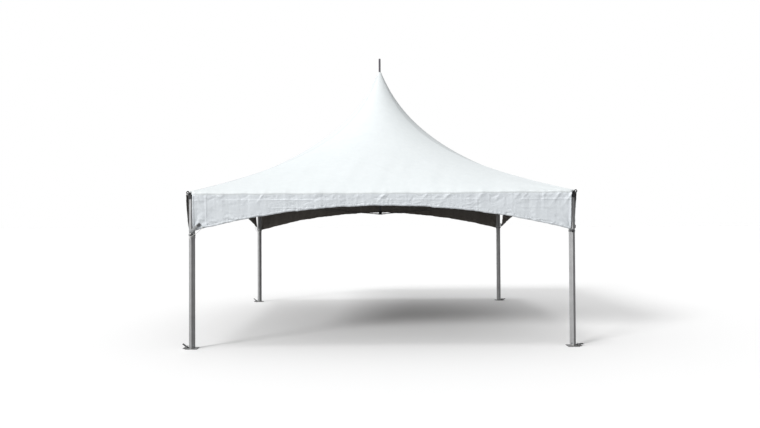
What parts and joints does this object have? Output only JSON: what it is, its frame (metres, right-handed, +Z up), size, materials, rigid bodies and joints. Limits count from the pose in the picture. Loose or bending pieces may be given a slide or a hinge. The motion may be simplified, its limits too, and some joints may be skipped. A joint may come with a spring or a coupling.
{
  "type": "high-peak frame marquee tent",
  "caption": "Square high-peak frame marquee with a flaring white cloth top, arched valances, corner-on square legs and a mast carried on crossed cables.",
  "frame": {"origin": "on the ground, in the middle of the square that the legs stand on", "axes": "+Z up along the mast; -Y is the front; +X is to the right of someone who faces the front"},
  "size_m": [6.2982, 6.16, 5.31],
  "materials": {
    "white_cloth": "satin coated cloth, white outside and grey-brown inside",
    "aluminium_tube": "mill finish extrusion",
    "galvanised_steel": "dull galvanised",
    "dark_steel": "dark, slightly worn",
    "steel_cable": "stranded wire",
    "webbing": "woven strap"
  },
  "bodies": {
    "root": {"base_plate_front_left": "galvanised_steel", "base_plate_front_right": "galvanised_steel", "base_plate_back_right": "galvanised_steel", "base_plate_back_left": "galvanised_steel", "anchor_ratchet_front_left": "dark_steel", "anchor_ratchet_front_right": "dark_steel", "anchor_ratchet_back_right": "dark_steel", "anchor_ratchet_back_left": "dark_steel", "leg_front_left": "aluminium_tube", "leg_front_right": "aluminium_tube", "leg_back_right": "aluminium_tube", "leg_back_left": "aluminium_tube", "corner_fitting_front_left": "galvanised_steel", "corner_fitting_front_right": "galvanised_steel", "corner_fitting_back_right": "galvanised_steel", "corner_fitting_back_left": "galvanised_steel", "corner_eye_front_left": "dark_steel", "corner_eye_front_right": "dark_steel", "corner_eye_back_right": "dark_steel", "corner_eye_back_left": "dark_steel", "cross_cable_front_left": "steel_cable", "cross_cable_front_right": "steel_cable", "cross_cable_back_right": "steel_cable", "cross_cable_back_left": "steel_cable", "corner_tie_front_left": "webbing", "corner_tie_front_right": "webbing", "corner_tie_back_right": "webbing", "corner_tie_back_left": "webbing", "eave_rail_front": "aluminium_tube", "eave_rail_right": "aluminium_tube", "eave_rail_back": "aluminium_tube", "eave_rail_left": "aluminium_tube", "roof_panel_front": "white_cloth", "roof_panel_right": "white_cloth", "roof_panel_back": "white_cloth", "roof_panel_left": "white_cloth", "valance_front": "white_cloth", "valance_right": "white_cloth", "valance_back": "white_cloth", "valance_left": "white_cloth", "mast": "aluminium_tube", "mast_foot": "dark_steel", "peak_cone": "aluminium_tube", "mast_spike": "aluminium_tube"}
  },
  "joints": []
}
